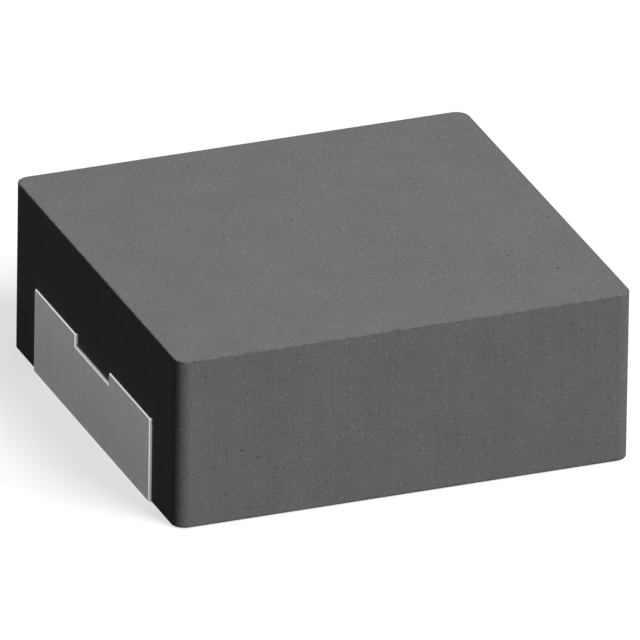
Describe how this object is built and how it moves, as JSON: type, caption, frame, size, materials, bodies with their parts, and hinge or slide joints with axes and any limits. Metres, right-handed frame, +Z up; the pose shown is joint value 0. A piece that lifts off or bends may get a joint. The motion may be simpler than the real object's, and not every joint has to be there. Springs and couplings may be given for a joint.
{
  "type": "shielded smd inductor",
  "caption": "Low square block of pressed iron powder with a flat-wire coil inside and a wide folded solder terminal at each end.",
  "frame": {"origin": "centre of the part's outline in plan, at the level of the solder pads' faces", "axes": "+Z up from the circuit board, +X from one terminal to the other, +Y across; the picture looks at the -X terminal, the -Y side and the top"},
  "size_m": [0.0108, 0.01, 0.004],
  "materials": {
    "iron_powder_composite": "matt, pressed from fine powder and resin",
    "enamelled_copper": "clear enamel over drawn copper",
    "tinned_copper": "satin tin plate"
  },
  "bodies": {
    "root": {"moulded_body": "iron_powder_composite", "coil": "enamelled_copper", "terminal_left": "tinned_copper", "terminal_right": "tinned_copper"}
  },
  "joints": []
}
